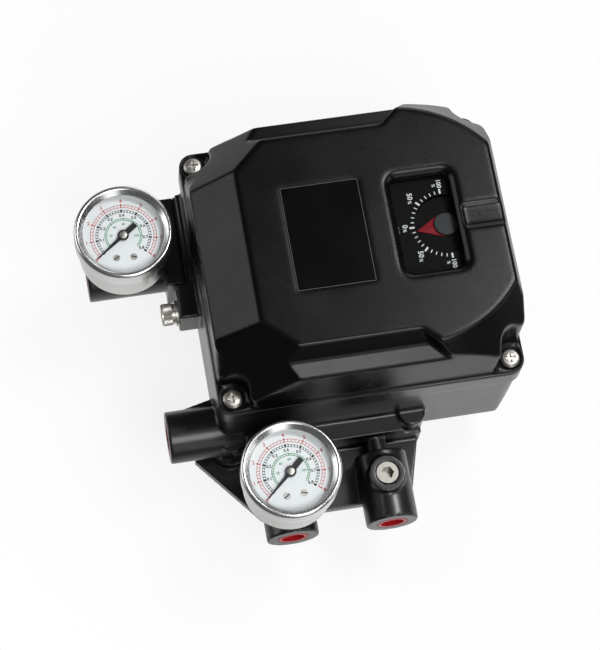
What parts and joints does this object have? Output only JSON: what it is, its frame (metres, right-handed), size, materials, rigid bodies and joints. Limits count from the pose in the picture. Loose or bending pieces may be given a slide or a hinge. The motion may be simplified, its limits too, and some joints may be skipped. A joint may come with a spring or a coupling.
{
  "type": "valve positioner",
  "caption": "Rotary pneumatic valve positioner: black cast housing with faceted cover, indicator window, pressure gauges, plugged air ports and a rear feedback shaft.",
  "frame": {"origin": "axis of the feedback shaft in the plane of the rear mounting face", "axes": "+Z out of the cover along the feedback shaft, +X to the indicator side, +Y away from the outlet ports"},
  "size_m": [0.1857, 0.1721, 0.118],
  "materials": {
    "housing_paint": "satin",
    "cover_paint": "matte",
    "rubber": "matte",
    "stainless": "satin",
    "dark_steel": "satin",
    "spring_steel": "satin",
    "window_glass": "polished",
    "scale_black": "matte",
    "label_black": "satin",
    "arrow_red": "satin",
    "plug_red": "satin",
    "steel": "satin",
    "bronze": "satin",
    "brass": "satin",
    "aluminium": "satin",
    "gauge_steel": "polished",
    "gauge_glass": "polished",
    "dial_white": "satin",
    "hand_black": "satin"
  },
  "bodies": {
    "positioner": {"housing": "housing_paint", "cover": "cover_paint", "cover_gasket": "rubber", "cover_screws": "stainless", "window_lens": "window_glass", "window_gasket": "rubber", "indicator_plate": "scale_black", "label_plate": "label_black", "relay_block": "housing_paint", "relay_gasket": "rubber", "relay_screws": "dark_steel", "relay_plug": "stainless", "port_plugs": "plug_red", "gauge_port_plug": "stainless", "ground_screw": "stainless", "ground_washers": "stainless", "supply_gauge_case": "gauge_steel", "supply_gauge_bezel": "gauge_steel", "supply_gauge_lens": "gauge_glass", "supply_gauge_dial": "dial_white", "supply_gauge_stem": "brass", "supply_gauge_bourdon": "brass", "supply_gauge_movement": "brass", "output_gauge_case": "gauge_steel", "output_gauge_bezel": "gauge_steel", "output_gauge_lens": "gauge_glass", "output_gauge_dial": "dial_white", "output_gauge_stem": "brass", "output_gauge_bourdon": "brass", "output_gauge_movement": "brass", "shaft_bushes": "bronze", "shaft_seal": "rubber", "chassis_plate": "aluminium", "chassis_pillars": "steel", "chassis_screws": "stainless", "feedback_spring": "spring_steel", "signal_capsule": "aluminium", "signal_diaphragm": "rubber", "nozzle": "brass", "zero_spring": "spring_steel"},
    "feedback": {"feedback_shaft": "steel", "shaft_clip": "dark_steel", "cam": "steel", "cam_nut": "steel", "indicator_disc": "scale_black", "indicator_arrow": "arrow_red"},
    "follower": {"follower_arm": "steel"},
    "roller": {"follower_roller": "bronze"},
    "beam": {"balance_beam": "aluminium"},
    "rod": {"push_rod": "steel"},
    "spool": {"pilot_spool": "steel"},
    "zero_adjuster": {"zero_knob": "brass"},
    "supply_hand": {"supply_gauge_pointer": "hand_black"},
    "supply_sector": {"supply_gauge_sector": "brass"},
    "output_hand": {"output_gauge_pointer": "hand_black"},
    "output_sector": {"output_gauge_sector": "brass"}
  },
  "joints": [
    {"name": "feedback_turn", "type": "hinge", "parent": "positioner", "child": "feedback", "pos_m": [0, 0, 0.014], "axis": [0, 0, 1], "range_deg": [-96, 84]},
    {"name": "follower_swing", "type": "hinge", "parent": "positioner", "child": "follower", "pos_m": [-0.024, 0.018, 0.062], "axis": [0, 0, 1], "range_deg": [-9.2, 10.5], "deforming": ["feedback_spring"]},
    {"name": "roller_spin", "type": "hinge", "parent": "follower", "child": "roller", "pos_m": [-0.0185, -0.004, 0.067], "axis": [0, 0, 1], "range_deg": [-272, 310]},
    {"name": "beam_tilt", "type": "hinge", "parent": "positioner", "child": "beam", "pos_m": [-0.062, 0.004, 0.067], "axis": [0, 0, 1], "range_deg": [-0.8, 1.2], "deforming": ["zero_spring"]},
    {"name": "rod_slide", "type": "slide", "parent": "positioner", "child": "rod", "axis": [1, 0, 0], "range_m": [-0.0004, 0.0006]},
    {"name": "spool_slide", "type": "slide", "parent": "positioner", "child": "spool", "axis": [0, 1, 0], "range_m": [-0.0015, 0.0015]},
    {"name": "zero_turn", "type": "hinge", "parent": "positioner", "child": "zero_adjuster", "pos_m": [-0.0435, -0.036, 0.067], "axis": [1, 0, 0], "range_deg": [-360, 360]},
    {"name": "supply_hand_turn", "type": "hinge", "parent": "positioner", "child": "supply_hand", "pos_m": [-0.1358, 0.0286, 0.043], "axis": [0, 0, 1], "range_deg": [-260, 0]},
    {"name": "supply_sector_turn", "type": "hinge", "parent": "positioner", "child": "supply_sector", "pos_m": [-0.13655, 0.01662, 0.043], "axis": [0, 0, 1], "range_deg": [0, 52]},
    {"name": "output_hand_turn", "type": "hinge", "parent": "positioner", "child": "output_hand", "pos_m": [-0.081, -0.0892, 0.043], "axis": [0, 0, 1], "range_deg": [-260, 0]},
    {"name": "output_sector_turn", "type": "hinge", "parent": "positioner", "child": "output_sector", "pos_m": [-0.0805, -0.10119, 0.043], "axis": [0, 0, 1], "range_deg": [0, 52]}
  ],
  "couplings": [
    {"joint": "follower_swing", "follows": "feedback_turn", "ratio": -0.10556},
    {"joint": "roller_spin", "follows": "feedback_turn", "ratio": -3.2},
    {"joint": "rod_slide", "follows": "beam_tilt", "m_per_rad": 0.028},
    {"joint": "supply_sector_turn", "follows": "supply_hand_turn", "ratio": -0.2},
    {"joint": "output_sector_turn", "follows": "output_hand_turn", "ratio": -0.2}
  ]
}
